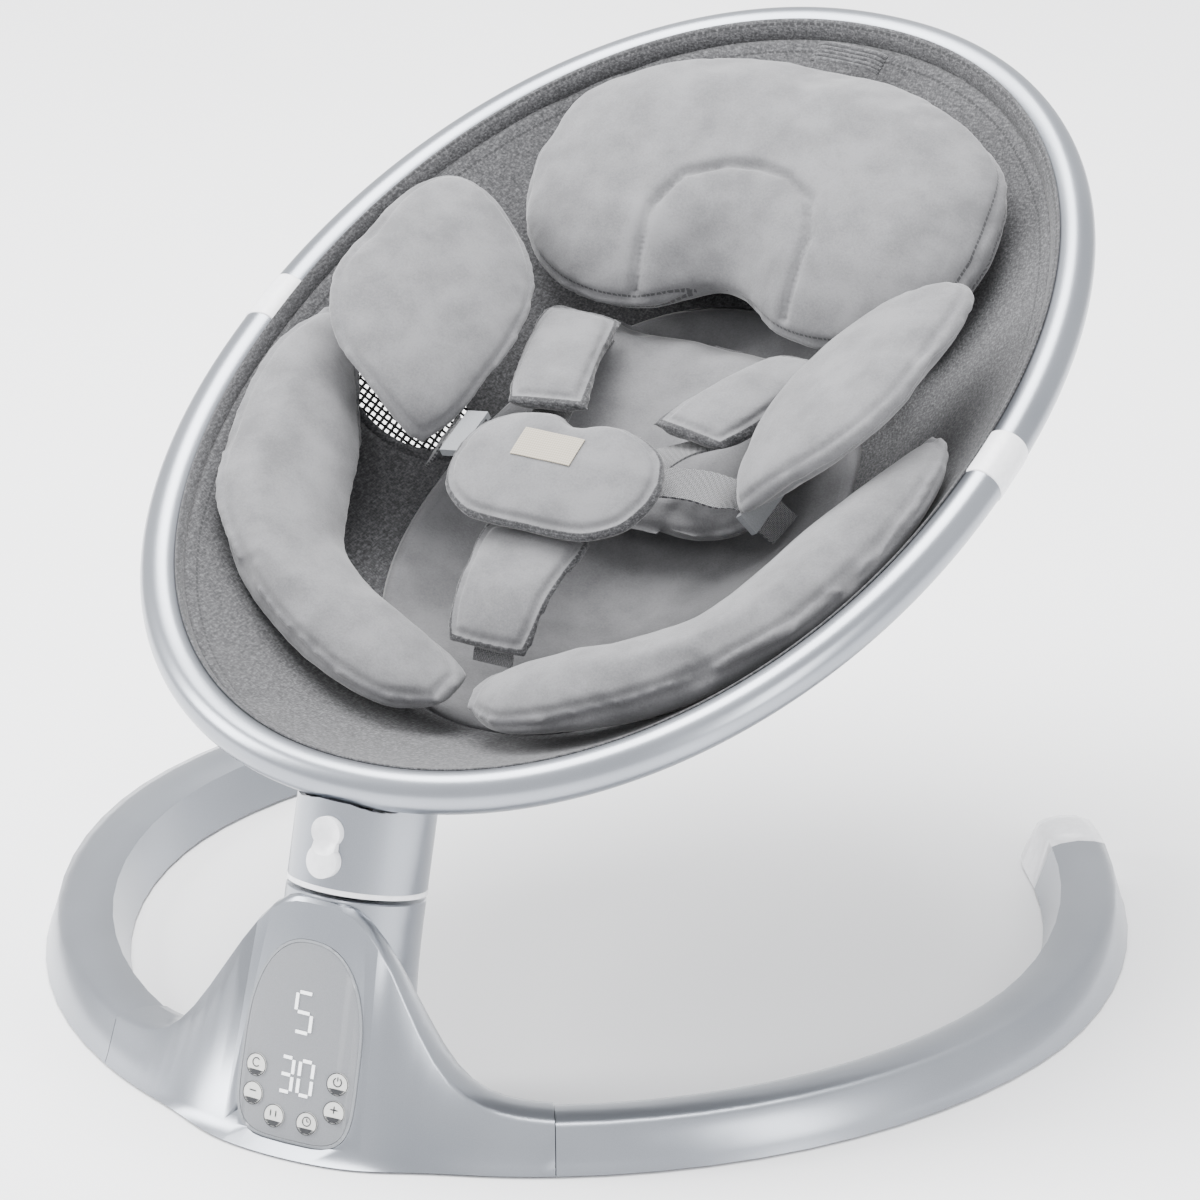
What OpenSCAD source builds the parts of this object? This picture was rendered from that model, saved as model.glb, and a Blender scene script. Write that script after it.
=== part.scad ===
// Powered baby swing: a C-shaped floor base with a raised control housing,
// a short leaning post, and a fabric seat laced inside a tilted oval ring.
// Units are millimetres. X is right, Y is towards the head end, Z is up.

/* [Base] */
// Half of the base width at the floor
base_half_w = 306; // [240:1:370]
// Half of the base depth at the floor
base_half_d = 330; // [260:1:400]
// Height of the legs at their side edges
leg_h = 27; // [20:1:34]
// Width of a leg at the floor
leg_w = 48; // [38:1:60]
// Height of the housing at its middle
hump_h = 135; // [115:1:150]
// Wall thickness of the base mouldings
wall = 3; // [2:0.5:4]

/* [Panel] */
// Width of the control panel
panel_w = 71; // [60:1:78]
// Height of the control panel along its slope
panel_h = 111; // [95:1:116]
// Diameter of a touch key mark
key_d = 13; // [9:1:16]

/* [Post] */
// Diameter of the post and neck
post_d = 78; // [66:1:92]
// Backward lean of the post in degrees
post_lean = 15; // [10:1:20]
// Height of the swing joint above the floor
joint_h = 131; // [120:1:155]
// Diameter of the swing shaft
shaft_d = 24; // [18:1:30]
// Diameter of the recline pin
pin_d = 10; // [8:1:14]

/* [Seat] */
// Half length of the ring along its tilt
ring_half_l = 325.6; // [270:0.2:390]
// Half width of the ring
ring_half_w = 232.8; // [190:0.2:280]
// Outside diameter of the ring tube
ring_d = 24; // [20:1:28]
// Tilt of the ring in degrees
ring_tilt = 21.3; // [15:0.1:28]
// Depth of the fabric bowl below the ring
sling_depth = 122; // [100:1:140]

/* [Harness] */
// Width of the webbing
webbing_w = 25; // [20:1:30]

/* [Hidden] */
$fn = 96;

silver = [0.66, 0.68, 0.71];
white = [0.93, 0.93, 0.94];
dark = [0.16, 0.16, 0.17];
steel = [0.62, 0.63, 0.65];
melange = [0.36, 0.36, 0.37];
velvet = [0.70, 0.70, 0.71];
webbing = [0.50, 0.50, 0.51];

floor_gap = 1.5;
wall_slope = 0.27;
base_y = -6.25;
seam_angle = 60.5;
cap_angle = 41;
end_angle = 50;
post_r = post_d / 2;
post_foot_y = base_y - base_half_d + 42.5;
joint_y = post_foot_y + joint_h * tan(post_lean);
pin_s = 36;
pin_y = joint_y + pin_s * sin(post_lean);
pin_z = joint_h + pin_s * cos(post_lean);
tube_r = ring_d / 2;
ring_foot_y = pin_y - 21;
ring_foot_z = pin_z + 19.8 + tube_r;
ring_y = ring_foot_y + ring_half_l * cos(ring_tilt);
ring_z = ring_foot_z + ring_half_l * sin(ring_tilt);
su = ring_half_w / 232.8;
sv = ring_half_l / 325.6;
sw = sling_depth / 122;
low_v = -60 * sv;
hole_r = base_half_w * base_half_w / base_half_d;

// ---- general shapes -------------------------------------------------

// Signed power, for superellipse outlines
function spow(c, n) = sign(c) * pow(abs(c), 2 / n);

// A closed solid through a list of equal-length point loops
module loft(loops) {
    n = len(loops[0]);
    m = len(loops);
    polyhedron(
        points = [for (l = loops) for (p = l) p],
        faces = concat(
            [for (k = [0:m - 2]) for (i = [0:n - 1])
                [k * n + i, k * n + (i + 1) % n, (k + 1) * n + (i + 1) % n, (k + 1) * n + i]],
            [[for (i = [n - 1:-1:0]) i]],
            [[for (i = [0:n - 1]) (m - 1) * n + i]]),
        convexity = 8);
}

// Places children in the plane of the seat ring
module on_ring() {
    translate([0, ring_y, ring_z]) rotate([ring_tilt, 0, 0]) children();
}

// Places children on the leaning post, s above the swing joint
module on_post(s) {
    translate([0, joint_y, joint_h]) rotate([-post_lean, 0, 0])
        translate([0, 0, s]) children();
}

// Places children on the curved panel face at x, up the slope by h
module on_panel(x, h) {
    translate([0, base_y - base_half_d, 0]) rotate([-post_lean, 0, 0])
        translate([0, hole_r, 0]) rotate([0, 0, asin(x / hole_r)])
            translate([0, -hole_r, h]) children();
}

// ---- base -----------------------------------------------------------

// Floor outline of the base at angle p, front at -90
function outline(p) = [base_half_w * spow(cos(p), 1.9),
    base_y + base_half_d * spow(sin(p), 1.9)];

function inward(p) = let (t = outline(p + 0.5) - outline(p - 0.5)) [-t.y, t.x] / norm(t);

// One section of the base moulding: crease height h, floor width w,
// front skirt b, all pulled in by i. Closed legs keep a floor.
function moulding(p, h, w, b, i, shut) = let (
        o = outline(p), n = inward(p), top = ridge(o.x, h),
        z0 = shut ? floor_gap + i : floor_gap - (i > 0 ? 3 : 0),
        a = wall_slope * h,
        pts = [[-b + i, z0], [wall_slope * 7 + i, 7], [a + 0.9 * i, h - i],
            [a + 0.2 * top, h + 2 - i], [a + 0.5 * top, h + 3 - i],
            [a + 0.8 * top, h + 2 - i], [a + top - 0.9 * i, h - i], [w - i, z0]])
    [for (q = pts) [o.x + n.x * q[0], o.y + n.y * q[0], q[1]]];

function hump(x) = leg_h + 12 * exp(-pow(x / 118, 4))
    + (hump_h - leg_h - 12) * exp(-pow(abs(x) / 73, 3.2));

// Width of the top face of the moulding, narrowing up the housing
function ridge(x, h) = leg_w - 17 - (h > leg_h ? (leg_w - 27) * exp(-pow(x / 66, 4)) : 0);

function skirt(x) = 10 * exp(-pow(x / 67, 4));
function housing_w(x) = leg_w + 60 * exp(-pow(x / 72, 2));

function housing_loops(i) = [for (k = [-16:16])
    let (p = -90 + seam_angle_span(k, i), x = outline(p).x)
        moulding(p, hump(x), housing_w(x), skirt(x), i, false)];

function seam_angle_span(k, i) = k / 16 * (90 - seam_angle - (i > 0 ? 0.9 : 0));

function leg_loops(i) = [for (k = [0:20])
    let (p = -seam_angle + 0.1 - (i > 0 ? 1 : 0)
            + k / 20 * (cap_angle + seam_angle - 0.2 + (i > 0 ? 2 : 0)))
        moulding(p, leg_h, leg_w, 0, i, true)];

// A short plug that follows the inside of a leg between two angles
function plug_loops(p0, p1) = [for (k = [0:3])
    moulding(p0 + k / 3 * (p1 - p0), leg_h, leg_w, 0, wall + 0.4, true)];

function cap_loops() = [for (c = [[0, 0], [0.35, 0], [0.7, 0.6], [0.9, 2.5], [1, 6]])
    moulding(cap_angle + c[0] * (end_angle - cap_angle), leg_h - c[1] * 0.3,
        leg_w, 0, c[1], true)];

function screw_places() = [for (p = [-66, -78]) for (m = [-1, 1])
    [m * (outline(p).x + 12 * inward(p).x), outline(p).y + 12 * inward(p).y]];

// Flat outline of the panel, grown by g
function panel_outline(g) = [for (k = [0:47]) let (
        t = k * 7.5, c = cos(t), s = sin(t), n = s < 0 ? 4.4 : 2.4)
    [(panel_w / 2 + g) * spow(c, n) * (1 - 0.07 * s), (panel_h / 2 + g) * spow(s, n)]];

module panel_plate(g, front, thick) {
    intersection() {
        on_panel(0, panel_h / 2 + 7) rotate([90, 0, 0])
            translate([0, 0, -20]) linear_extrude(40) polygon(panel_outline(g));
        on_panel(0, 0) translate([0, hole_r, -20]) difference() {
            cylinder(r = hole_r - front, h = hump_h + 60, $fn = 360);
            translate([0, 0, -1])
                cylinder(r = hole_r - front - thick, h = hump_h + 62, $fn = 360);
        }
    }
}

// Outer profile of the post, grown by g
module post_profile(g) {
    polygon([[0, -97], [post_r + 8 + g, -97], [post_r + 3 + g, -72],
        [post_r + 0.6 + g, -45], [post_r + g, -20], [post_r + g, -2.5], [0, -2.5]]);
}

module base_housing() color(silver) difference() {
    union() {
        difference() {
            loft(housing_loops(0));
            loft(housing_loops(wall));
        }
        for (p = screw_places()) translate([p[0], p[1], 5])
            cylinder(r = 5, h = 17);
    }
    on_post(0) rotate_extrude($fn = 120) post_profile(0.3);
    on_post(-130) cylinder(r = post_r - 3, h = 160);
    panel_plate(1.8, -8, 12.3);
    for (p = screw_places()) translate([p[0], p[1], 0]) cylinder(r = 2.1, h = 20);
    translate([84, -292, 14]) rotate([-90, 0, 0]) cylinder(r = 6.1, h = 60);
    for (m = [0, 1]) mirror([m, 0, 0]) loft(plug_loops(-seam_angle - 4, -seam_angle + 1));
}

module base_bottom_plate() color(dark) difference() {
    translate([0, 0, floor_gap]) linear_extrude(wall)
        polygon(concat(
            [for (k = [-15:15]) plate_edge(k, 5.5)],
            [for (k = [15:-1:-15]) plate_edge(k, 0)]));
    for (p = screw_places()) translate([p[0], p[1], 0]) {
        cylinder(r = 2.2, h = 10);
        cylinder(r = 4.2, h = floor_gap + 1.6);
    }
    for (x = [-10:5:10]) for (y = [-10:5:10]) translate([x - 88, y - 296, 0])
        cylinder(r = 1.2, h = 10, $fn = 16);
}

// A corner of the bottom plate, at its outer edge when e is over 0
function plate_edge(k, e) = let (p = -90 + seam_angle_span(k, 1), x = outline(p).x,
        d = e > 0 ? e : housing_w(x) - 7.5)
    [outline(p).x + inward(p).x * d, outline(p).y + inward(p).y * d];

module bottom_screws() color(steel) for (p = screw_places())
    translate([p[0], p[1], 0]) {
        translate([0, 0, floor_gap + 0.2]) cylinder(r = 3.9, h = 1.4);
        translate([0, 0, floor_gap + 1]) cylinder(r = 2, h = 15);
    }

module rubber_feet() color(dark) {
    for (m = [-1, 1]) {
        for (p = [35, -8]) translate([m * (outline(p).x + inward(p).x * leg_w / 2),
            outline(p).y + inward(p).y * leg_w / 2, 0]) cylinder(r = 10, h = floor_gap);
        translate([m * 92, -266, 0]) cylinder(r = 10, h = floor_gap);
    }
}

module leg_right() color(silver) difference() {
    loft(leg_loops(0));
    loft(leg_loops(wall));
}

module leg_left() mirror([1, 0, 0]) leg_right();

module leg_spigot_right() color(dark) loft(plug_loops(-seam_angle - 3.5, -seam_angle + 6));

module leg_spigot_left() mirror([1, 0, 0]) leg_spigot_right();

module leg_cap_right() color(white) {
    loft(cap_loops());
    loft(plug_loops(cap_angle - 4, cap_angle));
}

module leg_cap_left() mirror([1, 0, 0]) leg_cap_right();

module control_panel() color([0.80, 0.81, 0.83]) panel_plate(-0.2, 0.2, 2.5);

module panel_bezel() color([0.45, 0.46, 0.48]) difference() {
    panel_plate(1.6, 0, 3.4);
    panel_plate(0, -1, 10);
}

// Seven-bar figure: which bars are lit, from top clockwise, then the middle
module figure_bars(w, h, lit) {
    b = 1.8;
    x = w / 2 - b / 2;
    z = h / 2 - b / 2;
    bars = [[0, z, 1], [x, z / 2, 0], [x, -z / 2, 0], [0, -z, 1],
        [-x, -z / 2, 0], [-x, z / 2, 0], [0, 0, 1]];
    for (k = [0:6]) if (lit[k] > 0) translate([bars[k][0], -0.3, bars[k][1]])
        cube([bars[k][2] > 0 ? w - 2.6 * b : b, 0.5, bars[k][2] > 0 ? b : h / 2 - 1.5 * b],
            center = true);
}

module display_digits() color([0.97, 0.98, 1.0]) {
    on_panel(0, 79) figure_bars(12, 24, [1, 0, 1, 1, 0, 1, 1]);
    on_panel(-6.2, 43) figure_bars(10, 21, [1, 1, 1, 1, 0, 0, 1]);
    on_panel(6.2, 43) figure_bars(10, 21, [1, 1, 1, 1, 1, 1, 0]);
}

module touch_key_marks() color([0.88, 0.88, 0.86])
    for (k = [[-26, 44], [-26, 28], [-10.5, 18.5], [10.5, 18.5], [26, 28], [26, 44]])
        on_panel(k[0], k[1]) rotate([90, 0, 0]) translate([0, 0, -0.15])
            cylinder(r = key_d / 2, h = 0.6, $fn = 48);

module circuit_board() color([0.12, 0.32, 0.18]) on_panel(0, 62)
    translate([0, 7.4, 0]) cube([46, 1.6, 64], center = true);

module speaker() color(dark) translate([-88, -296, floor_gap + wall + 0.2]) {
    cylinder(r1 = 18, r2 = 11, h = 7);
    cylinder(r = 9, h = 12);
}

module power_inlet() color(dark) translate([84, -291.5, 14]) rotate([-90, 0, 0])
    difference() {
        cylinder(r = 6, h = 26);
        translate([0, 0, 14]) cylinder(r = 2.8, h = 20);
    }

module post_shell() color(silver) difference() {
    on_post(0) rotate_extrude($fn = 120) difference() {
        post_profile(0);
        translate([-1, -100]) square([bearing_r() + 1.05, 120]);
        polygon([[0, -98], [post_r + 5, -98], [post_r, -72], [post_r - 2.4, -45],
            [post_r - 3, -36], [0, -36]]);
        translate([-1, -12]) square([post_r - 2, 12]);
    }
    on_post(-100) translate([-60, -80, -30]) cube([120, 54, 115]);
}

function bearing_r() = shaft_d / 2 + 9;

module bearing_ring(s) on_post(s) difference() {
    cylinder(r = bearing_r(), h = 12);
    translate([0, 0, -1]) cylinder(r = shaft_d / 2 + 0.05, h = 14);
}

module upper_bearing() color(steel) bearing_ring(-30);

module lower_bearing() color(steel) difference() {
    union() {
        bearing_ring(-80);
        on_post(-80) difference() {
            translate([-bearing_r() - 9, -bearing_r(), 0])
                cube([2 * bearing_r() + 18, 2 * bearing_r(), 3]);
            translate([0, 0, -1]) cylinder(r = bearing_r() - 1, h = 20);
        }
    }
}

module drive_coil() color([0.55, 0.33, 0.18]) difference() {
    union() {
        on_post(-112) translate([0, 28, 0]) cylinder(r = 9, h = 9.5);
        translate([-7, -268, floor_gap + wall]) cube([14, 14, 18]);
    }
    on_post(-102.5) translate([0, 0, 0.01]) cylinder(r = 60, h = 80);
}

// ---- swinging neck --------------------------------------------------

module neck_shell() color(silver) difference() {
    on_post(3) difference() {
        cylinder(r = post_r, h = 90, $fn = 120);
        translate([0, 0, 5]) cylinder(r = post_r - wall, h = 90, $fn = 120);
        translate([0, 0, -1]) cylinder(r = shaft_d / 2 + 0.02, h = 10);
        translate([-6.5, -post_r - 5, 8]) cube([13, 12, 26]);
    }
    translate([0, pin_y, pin_z]) rotate([0, 90, 0])
        translate([0, 0, -post_r + 1.4]) cylinder(r = pin_d / 2 + 0.02, h = post_d - 2.8);
    translate([0, pin_y - 34, pin_z + 25]) rotate([-18, 0, 0])
        translate([-60, -40, 0]) cube([120, 160, 60]);
    on_ring() ring_run(-104, -76, tube_r + 1.6, 12);
}

module neck_collar() color(white) on_post(0) difference() {
    cylinder(r = post_r + 0.4, h = 3, $fn = 120);
    translate([0, 0, -1]) cylinder(r = shaft_d / 2 + 6, h = 5);
}

module swing_shaft() color(steel) on_post(-96) {
    cylinder(r = shaft_d / 2, h = 114);
    translate([0, 0, 104]) cylinder(r = shaft_d / 2 + 6, h = 4);
}

module drive_arm() color(dark) on_post(-94) difference() {
    union() {
        cylinder(r = shaft_d / 2 + 5, h = 8);
        translate([-6, 0, 0]) cube([12, 30, 6]);
        translate([0, 28, -5]) cylinder(r = 8, h = 11);
    }
    translate([0, 0, -6]) cylinder(r = shaft_d / 2 + 0.02, h = 20);
}

module recline_pin() color(steel) translate([0, pin_y, pin_z]) rotate([0, 90, 0])
    translate([0, 0, -post_r + 1.5]) cylinder(r = pin_d / 2, h = post_d - 3);

// Waisted front face of the latch
module latch_face() {
    translate([0, 8]) circle(r = 9);
    translate([0, -8]) circle(r = 9.5);
    translate([-7, -8]) square([14, 16]);
}

module recline_latch() color(white) on_post(26) {
    difference() {
        intersection() {
            difference() {
                translate([0, 0, -20]) cylinder(r = post_r + 6, h = 40, $fn = 120);
                translate([0, 0, -21]) cylinder(r = post_r + 0.4, h = 42, $fn = 120);
            }
            rotate([90, 0, 0]) linear_extrude(80) latch_face();
        }
        translate([0, -post_r - 17.5, 6.5]) sphere(r = 16, $fn = 60);
    }
    translate([-5.5, -post_r - 1, -6]) cube([11, 8, 12]);
    translate([-9, -post_r + 4.5, -9]) cube([18, 3.5, 18]);
}

// ---- seat frame -----------------------------------------------------

// Centre line of the ring at angle t, pulled in by g
function rim(t, g) = [(ring_half_w - g) * spow(cos(t), 2.1) * (1 - 0.015 * sin(t)),
    (ring_half_l - g) * spow(sin(t), 2.1), 0];

function tube_loop(t, r) = let (d = rim(t + 0.4, 0) - rim(t - 0.4, 0), n = [d.y, -d.x, 0] / norm(d))
    [for (a = [0:20:340]) rim(t, 0) + r * (cos(a) * n + [0, 0, sin(a)])];

module ring_run(t0, t1, r, steps)
    loft([for (k = [0:steps]) tube_loop(t0 + k / steps * (t1 - t0), r)]);

module ring_tube(t0, t1) on_ring() difference() {
    ring_run(t0, t1, tube_r, 36);
    ring_run(t0 - 1, t1 + 1, tube_r - 2, 36);
}

module ring_upper_tube() color(silver) ring_tube(4.4, 175.6);
module ring_lower_tube() color(silver) ring_tube(-179, -1);

module ring_connector_right() color(white) on_ring() {
    ring_run(-0.9, 4.3, tube_r + 0.5, 4);
    ring_run(-4, 7.4, tube_r - 2.5, 8);
}

module ring_connector_left() color(white) on_ring() {
    ring_run(175.7, 180.9, tube_r + 0.5, 4);
    ring_run(172.6, 184, tube_r - 2.5, 8);
}

module ring_clamp() color(dark) difference() {
    translate([0, ring_foot_y, ring_foot_z]) rotate([ring_tilt, 0, 0])
        translate([-15, -5, -tube_r - 4]) cube([30, 17, tube_r + 2]);
    on_ring() ring_run(-100, -80, tube_r + 0.35, 12);
}

module recline_knuckle() color(steel) difference() {
    union() {
        translate([-24, pin_y, pin_z]) rotate([0, 90, 0]) cylinder(r = pin_d / 2 + 5, h = 48);
        translate([0, ring_foot_y, ring_foot_z]) rotate([ring_tilt, 0, 0])
            translate([-15, -5, -tube_r - 4 - 17]) cube([30, 16, 17]);
    }
    translate([0, pin_y, pin_z]) rotate([0, 90, 0])
        translate([0, 0, -60]) cylinder(r = pin_d / 2 + 0.05, h = 120);
}

// ---- fabric bowl ----------------------------------------------------

// Height of the bowl at a share k of the way from its low point to the rim
function bowl(k, t) = let (q = (sqrt(k * k + 0.004) - sqrt(0.004)) / (sqrt(1.004) - sqrt(0.004)))
    2 - (sling_depth + 2) * (1 - pow(q, 1.5 - 0.35 * pow(max(0, sin(t)), 1.5)));

function bowl_point(k, t, lift) = let (r = rim(t, tube_r + 0.9))
    [r.x * k, low_v + (r.y - low_v) * k, bowl(k, t) + lift];

// A shell that follows the bowl out to share e, between two lifts
module bowl_shell(shares, under, over) {
    n = 40;
    m = len(shares);
    pts = concat([[0, low_v, bowl(0, 0) + under(0)]],
        [for (k = shares) for (i = [0:n - 1]) bowl_point(k, i * 9, under(k))],
        [[0, low_v, bowl(0, 0) + over(0)]],
        [for (k = shares) for (i = [0:n - 1]) bowl_point(k, i * 9, over(k))]);
    b = 1 + m * n;
    polyhedron(points = pts, convexity = 6, faces = concat(
        [for (i = [0:n - 1]) [0, 1 + i, 1 + (i + 1) % n]],
        [for (j = [0:m - 2]) for (i = [0:n - 1]) let (a = 1 + j * n)
            [a + i, a + n + i, a + n + (i + 1) % n, a + (i + 1) % n]],
        [for (i = [0:n - 1]) [b, b + 1 + (i + 1) % n, b + 1 + i]],
        [for (j = [0:m - 2]) for (i = [0:n - 1]) let (a = b + 1 + j * n)
            [a + i, a + (i + 1) % n, a + n + (i + 1) % n, a + n + i]],
        [for (i = [0:n - 1]) let (a = 1 + (m - 1) * n, c = b + a)
            [a + i, c + i, c + (i + 1) % n, a + (i + 1) % n]]));
}

sling_under = function (k) -2.5;
sling_over = function (k) 0;
pad_under = function (k) 0.5;
pad_over = function (k) 6 + 10 * (1 - pow(k / 0.56, 2));

module sling_shell() on_ring()
    bowl_shell([0.06, 0.13, 0.25, 0.4, 0.55, 0.68, 0.8, 0.88, 0.95, 1], sling_under, sling_over);

module mesh_cutter(m, g) on_ring() translate([m * 158 * su, 12 * sv, -120])
    linear_extrude(200) circle(r = 33 * su + g, $fn = 32);

module sling_fabric() color(melange) difference() {
    sling_shell();
    mesh_cutter(-1, 0);
    mesh_cutter(1, 0);
}

module mesh_window_right() color(dark) intersection() {
    sling_shell();
    mesh_cutter(1, -0.3);
}

module mesh_window_left() color(dark) intersection() {
    sling_shell();
    mesh_cutter(-1, -0.3);
}

module head_tab() color(dark) on_ring()
    translate([-22 * su, 281 * sv, 5]) rotate([25, 0, 0]) cube([44 * su, 14, 5]);

module seat_pad() color(velvet) on_ring()
    bowl_shell([0.06, 0.13, 0.2, 0.3, 0.4, 0.48, 0.54, 0.56], pad_under, pad_over);

// ---- cushions -------------------------------------------------------

// A soft section between an inner and an outer edge point
function soft_loop(a, b, th, dir) = let (
        c = (a + b) / 2, e = (b - a) / 2, n0 = cross(dir, e), n = n0 / norm(n0))
    [for (t = [0:22.5:337.5]) let (q = c + spow(cos(t), 2.4) * e + th / 2 * sin(t) * n)
        [q.x * su, q.y * sv, q.z * sw]];

// A cushion through rows of [inner point, outer point, thickness]
module cushion(rows) on_ring() loft([for (k = [0:len(rows) - 1]) let (
        j0 = max(0, k - 1), j1 = min(len(rows) - 1, k + 1),
        d = rows[j1][0] + rows[j1][1] - rows[j0][0] - rows[j0][1])
    soft_loop(rows[k][0], rows[k][1], rows[k][2], d / norm(d))]);

// The same cushion on the other side
function flip(rows) = [for (r = rows) [[-r[1].x, r[1].y, r[1].z], [-r[0].x, r[0].y, r[0].z], r[2]]];

upper_petal_rows = [
    [[102, -56, -13], [109, -59, -8], 5],
    [[92, -34, -11], [129, -52, 9], 20],
    [[86, 0, -7], [164, -34, 32], 26],
    [[85, 30, -5], [185, 3, 43], 28],
    [[91, 62, -4], [186, 45, 42], 28],
    [[106, 88, 3], [184, 85, 37], 26],
    [[131, 108, 15], [175, 110, 30], 20],
    [[152, 116, 22], [161, 118, 26], 6]];

lower_petal_rows = [
    [[190, 26, 4], [208, 12, 13], 8],
    [[178, 4, -9], [215, -24, 16], 20],
    [[159, -28, -24], [214, -60, 15], 25],
    [[140, -60, -32], [207, -96, 12], 27],
    [[125, -98, -36], [193, -138, 7], 28],
    [[110, -128, -39], [162, -177, -1], 28],
    [[83, -149, -41], [122, -208, -11], 28],
    [[54, -166, -42], [79, -229, -19], 27],
    [[27, -180, -43], [36, -237, -28], 24],
    [[4, -194, -42], [5, -222, -38], 10]];

pillow_half_rows = [
    [[151, 158, 0], [151, 178, 8], 14],
    [[141, 126, -12], [141, 220, 14], 32],
    [[116, 104, -20], [116, 246, 18], 42],
    [[84, 94, -24], [84, 262, 20], 45],
    [[45, 94, -24], [45, 272, 21], 45],
    [[0, 99, -24], [0, 276, 21], 45]];

back_pad_half_rows = [
    [[94, 20, -52], [94, 50, -50], 6],
    [[84, -20, -60], [84, 105, -48], 14],
    [[50, -34, -70], [50, 116, -52], 18],
    [[0, -36, -74], [0, 118, -54], 18]];

shoulder_pad_rows = [
    [[50, 84, -27], [97, 78, -20], 6],
    [[44, 66, -22], [94, 60, -17], 15],
    [[36, 40, -16], [88, 34, -14], 17],
    [[27, 14, -10], [80, 6, -11], 16],
    [[20, -8, -7], [70, -16, -8], 8]];

crotch_pad_rows = [
    [[-34, -100, -11.5], [34, -100, -11.5], 7],
    [[-35, -114, -12], [35, -114, -12], 11],
    [[-33, -130, -14], [33, -130, -14], 12],
    [[-31, -148, -18], [31, -148, -18], 12],
    [[-29, -166, -28], [29, -166, -28], 12],
    [[-26, -176, -36], [26, -176, -36], 8]];

cover_half_rows = [
    [[66, -84, 7], [66, -68, 9], 6],
    [[58, -104, 5], [58, -50, 12], 15],
    [[40, -117, 4], [40, -38, 14], 19],
    [[20, -120, 4], [20, -34, 15], 20],
    [[0, -120, 4], [0, -40, 15], 20]];

// A mirrored pair of half lists joined into one, left to right
function both(half) = let (n = len(half)) concat(
    [for (r = half) [[-r[0].x, r[0].y, r[0].z], [-r[1].x, r[1].y, r[1].z], r[2]]],
    [for (k = [n - 2:-1:0]) half[k]]);

module upper_petal_right() color(velvet) cushion(upper_petal_rows);
module upper_petal_left() color(velvet) cushion(flip(upper_petal_rows));
module lower_petal_right() color(velvet) cushion(lower_petal_rows);
module lower_petal_left() color(velvet) cushion(flip(lower_petal_rows));
module head_pillow() color(velvet) cushion(both(pillow_half_rows));
module back_pad() color(velvet) cushion(both(back_pad_half_rows));
module shoulder_pad_right() color(velvet) cushion(shoulder_pad_rows);
module shoulder_pad_left() color(velvet) cushion(flip(shoulder_pad_rows));
module crotch_pad() color(velvet) cushion(crotch_pad_rows);
module buckle_cover() color(velvet) cushion(both(cover_half_rows));

// ---- harness --------------------------------------------------------

// Flat webbing through [point] rows, with its width along direction d
module strap(path, d, across) on_ring() {
    h = webbing_w / 2;
    loft([for (p = path) let (c = [p.x * su, p.y * sv, p.z * sw])
        [c - h * d - 0.8 * across, c + h * d - 0.8 * across,
            c + h * d + 0.8 * across, c - h * d + 0.8 * across]]);
}

shoulder_path = [[70, 84, -40], [67, 62, -36], [62, 34, -30], [52, 6, -24], [41, -22, -11.5], [36, -40, -7.4]];
waist_path = [[36, -56, -5], [52, -50, -6], [72, -46, -7], [88, -44.5, -10], [97, -35, -18],
    [106, -34, -31], [114, -33, -41]];
crotch_path = [[0, -91, -15.5], [0, -97, -19.5], [0, -112, -20.5], [0, -128, -22], [0, -148, -26.5], [0, -166, -38.5],
    [0, -174, -48]];

module shoulder_strap_right() color(webbing) strap(shoulder_path, [0.98, 0.2, 0], [0, 0, 1]);
module shoulder_strap_left() mirror([1, 0, 0]) shoulder_strap_right();
module waist_strap_right() color(webbing) strap(waist_path, [0.1, 0.995, 0], [-0.3, 0, 0.95]);
module waist_strap_left() mirror([1, 0, 0]) waist_strap_right();
module crotch_strap() color(webbing) strap(crotch_path, [-1, 0, 0], [0, -0.45, 0.89]);

module strap_adjusters() color(dark) on_ring() {
    translate([-79 * su, -45.4 * sv, -9.2 * sw]) rotate([0, -11, 0]) ladder_lock();
    translate([100.7 * su, -34.6 * sv, -25.1 * sw]) rotate([0, 55, 0]) ladder_lock();
}

// Sliding adjuster that wraps the webbing
module ladder_lock() difference() {
    translate([-7, -17, -0.2]) cube([14, 34, 4.5]);
    translate([-8, -13.2, -1]) cube([16, 26.4, 3.4]);
}

module buckle_body() color(dark) on_ring() difference() {
    translate([-23, -90, -17]) cube([46, 36, 11.5]);
    translate([0, -72, -15]) cylinder(r = 9.3, h = 20);
    for (m = [-1, 1]) translate([m * 18 - 8, -80.3, -13.3]) cube([16, 16.6, 3.6]);
    translate([-14, -92, -13.2]) cube([28, 6, 2.4]);
}

module buckle_tongue_right() color(dark) on_ring() {
    translate([11, -80, -13]) cube([13, 16, 3]);
    difference() {
        translate([23.5, -72, -13]) cube([26, 38, 3]);
        translate([31, -69, -14]) cube([3, 26, 5]);
        translate([26, -39, -14]) cube([20, 3, 5]);
    }
}

module buckle_tongue_left() mirror([1, 0, 0]) buckle_tongue_right();

module buckle_button() color([0.75, 0.2, 0.18]) on_ring()
    translate([0, -72, -12.5]) cylinder(r = 9, h = 8);

module cover_label() color([0.78, 0.75, 0.68]) on_ring()
    translate([-19 * su, -86 * sv, 21 * sw]) rotate([6, 0, 0]) cube([38, 20, 0.6]);

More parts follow.
